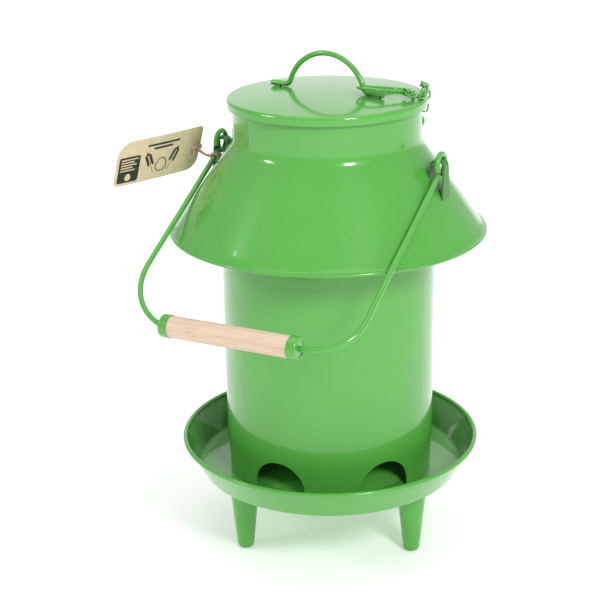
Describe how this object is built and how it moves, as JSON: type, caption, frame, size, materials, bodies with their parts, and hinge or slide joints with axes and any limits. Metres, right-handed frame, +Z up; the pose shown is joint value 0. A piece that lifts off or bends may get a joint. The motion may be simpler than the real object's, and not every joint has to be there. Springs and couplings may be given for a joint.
{
  "type": "poultry feeder",
  "caption": "Gravity poultry feeder: a painted sheet-steel hopper tube on a footed tray, with a conical rain hood, a lift-off lid on a chain and a bail with a wooden grip.",
  "frame": {"origin": "on the hopper's axis, on the floor under the feet", "axes": "+Z up along the hopper's axis; X along the bail's hinge axis, +X to the side where the tether ring lies; the bail rests forward, towards -Y"},
  "size_m": [0.2606, 0.2821, 0.3837],
  "materials": {
    "paint": "gloss green powder coat",
    "wood": "turned, unvarnished",
    "card": "kraft card",
    "twine": "natural fibre"
  },
  "bodies": {
    "feeder": {"feed_tray": "paint", "feed_cone": "paint", "leg_1": "paint", "leg_2": "paint", "leg_3": "paint", "hopper_tube": "paint", "neck_collar": "paint", "rain_hood": "paint", "ear_right": "paint", "ear_left": "paint", "neck_eye": "paint"},
    "bail": {"bail_wire": "paint", "twine_wrap": "twine"},
    "grip": {"grip_wood": "wood", "grip_cap_right": "paint", "grip_cap_left": "paint"},
    "lid": {"lid_plate": "paint", "lid_skirt": "paint", "lid_handle": "paint"},
    "tether": {"tether_ring": "paint"},
    "chain_run": {"chain_link_01": "paint", "chain_link_02": "paint", "chain_link_03": "paint", "chain_link_04": "paint", "chain_link_05": "paint", "chain_link_06": "paint", "chain_link_07": "paint", "chain_link_08": "paint", "chain_link_09": "paint", "chain_link_10": "paint", "chain_link_11": "paint", "chain_link_12": "paint", "chain_link_13": "paint"},
    "chain_tail": {"chain_link_14": "paint", "chain_link_15": "paint", "chain_link_16": "paint", "chain_link_17": "paint"},
    "tag": {"hang_tag": "card", "tag_twine": "twine"}
  },
  "joints": [
    {"name": "bail_swing", "type": "hinge", "parent": "feeder", "child": "bail", "pos_m": [0, 0, 0.3084], "axis": [-1, 0, 0], "range_deg": [0, 245]},
    {"name": "grip_spin", "type": "hinge", "parent": "bail", "child": "grip", "pos_m": [0.0016, -0.15521, 0.21717], "axis": [1, 0, 0], "continuous": true},
    {"name": "tag_level", "type": "hinge", "parent": "bail", "child": "tag", "pos_m": [-0.09, -0.01045, 0.29841], "axis": [-1, 0, 0], "range_deg": [-245, 0]},
    {"name": "lid_lift", "type": "slide", "parent": "feeder", "child": "lid", "axis": [0, 0, 1], "range_m": [0, 0.06]},
    {"name": "tether_lift", "type": "hinge", "parent": "lid", "child": "tether", "pos_m": [0.02941, -0.00771, 0.36033], "axis": [0.7369, -0.6707, 0.0846], "range_deg": [0, 40]},
    {"name": "chain_lift", "type": "hinge", "parent": "tether", "child": "chain_run", "pos_m": [0.05867, 0.00702, 0.35694], "axis": [1, 0, 0], "range_deg": [0, 20]},
    {"name": "tail_swing", "type": "hinge", "parent": "chain_run", "child": "chain_tail", "pos_m": [0.05721, 0.05103, 0.35201], "axis": [0.6649, -0.7469, 0], "range_deg": [0, 40]}
  ],
  "couplings": [
    {"joint": "tag_level", "follows": "bail_swing", "ratio": -1}
  ]
}
